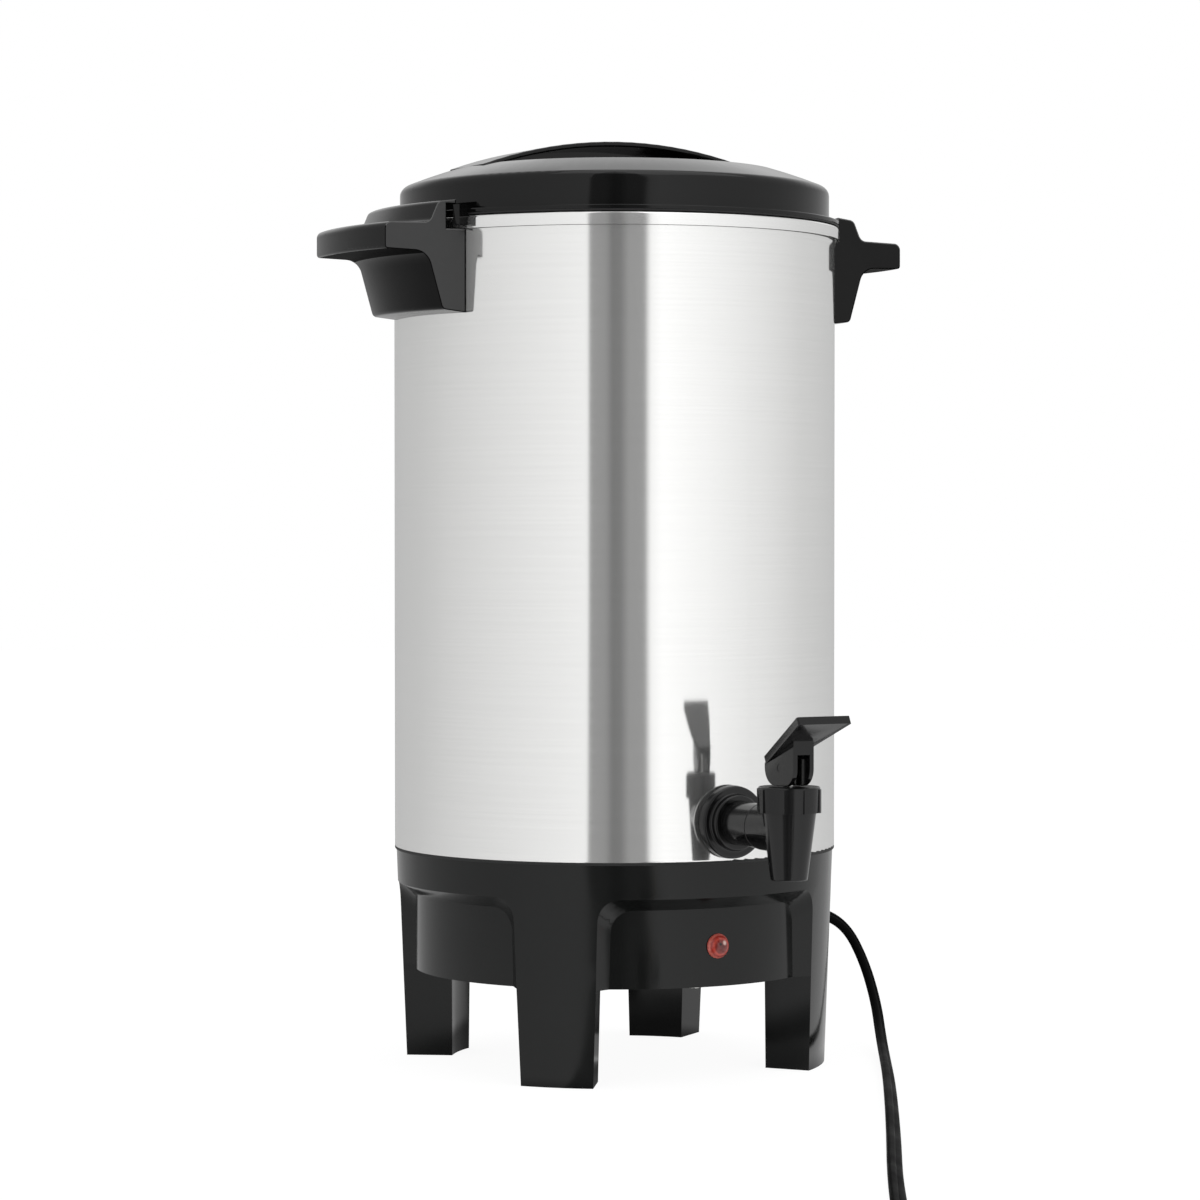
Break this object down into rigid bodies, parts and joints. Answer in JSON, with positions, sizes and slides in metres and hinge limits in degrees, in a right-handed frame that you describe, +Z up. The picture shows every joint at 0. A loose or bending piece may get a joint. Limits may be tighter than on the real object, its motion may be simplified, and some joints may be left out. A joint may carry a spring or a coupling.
{
  "type": "coffee urn",
  "caption": "Stainless steel percolating coffee urn with a black base on legs, side handles, twist-lock lid, lever tap and mains cord.",
  "frame": {"origin": "on the tank's axis, at the level of the feet", "axes": "+Z up along the tank's axis; the tap faces -Y; the handles lie along X and the cord leaves at +X"},
  "size_m": [0.305, 0.6654, 0.4367],
  "materials": {
    "steel_shell": "satin, polished along the rim",
    "steel_inner": "satin",
    "black_plastic": "low gloss, fine moulded grain",
    "lid_plastic": "polished",
    "tap_plastic": "low gloss",
    "aluminium": "spun and satin",
    "seal_rubber": "matte",
    "silicone": "matte",
    "zinc_steel": "plated",
    "element_sheath": "dull",
    "ceramic_block": "matte",
    "lamp_lens": "translucent",
    "cord_jacket": "matte",
    "blade_brass": "bright",
    "lead_insulation": "braided"
  },
  "bodies": {
    "urn": {"tank_shell": "steel_shell", "tank_floor": "steel_inner", "base_housing": "black_plastic", "base_cover": "zinc_steel", "cover_screws": "zinc_steel", "heat_plate": "aluminium", "boil_element": "element_sheath", "warm_element": "element_sheath", "boil_thermostat": "zinc_steel", "dry_cutout": "zinc_steel", "mount_studs": "zinc_steel", "mount_nuts": "zinc_steel", "terminal_block": "ceramic_block", "pilot_lens": "lamp_lens", "pilot_lamp": "black_plastic", "strain_relief": "cord_jacket", "leads": "lead_insulation", "handle_right": "black_plastic", "handle_left": "black_plastic", "handle_washers": "zinc_steel", "handle_screws": "zinc_steel", "tap_gasket_outer": "seal_rubber", "tap_flange": "tap_plastic", "tap_gasket_inner": "seal_rubber", "tap_nut": "tap_plastic", "tap_body": "tap_plastic", "tap_bonnet": "tap_plastic", "tap_spring": "zinc_steel", "cord_tube": "cord_jacket", "cord_coil": "cord_jacket", "plug_body": "cord_jacket", "plug_blades": "blade_brass"},
    "lid_ring": {"lid_seal": "seal_rubber"},
    "lid": {"lid": "lid_plastic"},
    "percolator": {"perc_tube": "aluminium", "perc_foot": "aluminium", "basket_collar": "aluminium"},
    "basket": {"basket": "aluminium"},
    "basket_cover": {"basket_lid": "aluminium"},
    "tap_stem": {"tap_stem": "zinc_steel", "seat_cup": "silicone", "lever_pin": "zinc_steel"},
    "tap_lever": {"tap_lever": "tap_plastic"}
  },
  "joints": [
    {"name": "lid_lift", "type": "slide", "parent": "urn", "child": "lid_ring", "axis": [0, 0, 1], "range_m": [0, 0.4]},
    {"name": "lid_turn", "type": "hinge", "parent": "lid_ring", "child": "lid", "pos_m": [0, 0, 0.4], "axis": [0, 0, 1], "range_deg": [-20, 0]},
    {"name": "percolator_lift", "type": "slide", "parent": "urn", "child": "percolator", "axis": [0, 0, 1], "range_m": [0, 0.24]},
    {"name": "basket_lift", "type": "slide", "parent": "percolator", "child": "basket", "axis": [0, 0, 1], "range_m": [0, 0.06]},
    {"name": "basket_cover_lift", "type": "slide", "parent": "basket", "child": "basket_cover", "axis": [0, 0, 1], "range_m": [0, 0.048]},
    {"name": "tap_stem_lift", "type": "slide", "parent": "urn", "child": "tap_stem", "axis": [0, 0, 1], "range_m": [0, 0.0028], "deforming": ["tap_spring"]},
    {"name": "tap_lever", "type": "hinge", "parent": "tap_stem", "child": "tap_lever", "pos_m": [0, -0.156, 0.148], "axis": [1, 0, 0], "range_deg": [0, 40], "stiffness_Nm_per_rad": 0.02, "springref_deg": -22.92}
  ],
  "couplings": [
    {"joint": "percolator_lift", "follows": "lid_lift", "ratio": 0.6},
    {"joint": "basket_lift", "follows": "lid_lift", "ratio": 0.15},
    {"joint": "basket_cover_lift", "follows": "lid_lift", "ratio": 0.12},
    {"joint": "tap_stem_lift", "follows": "tap_lever", "m_per_rad": 0.004}
  ]
}
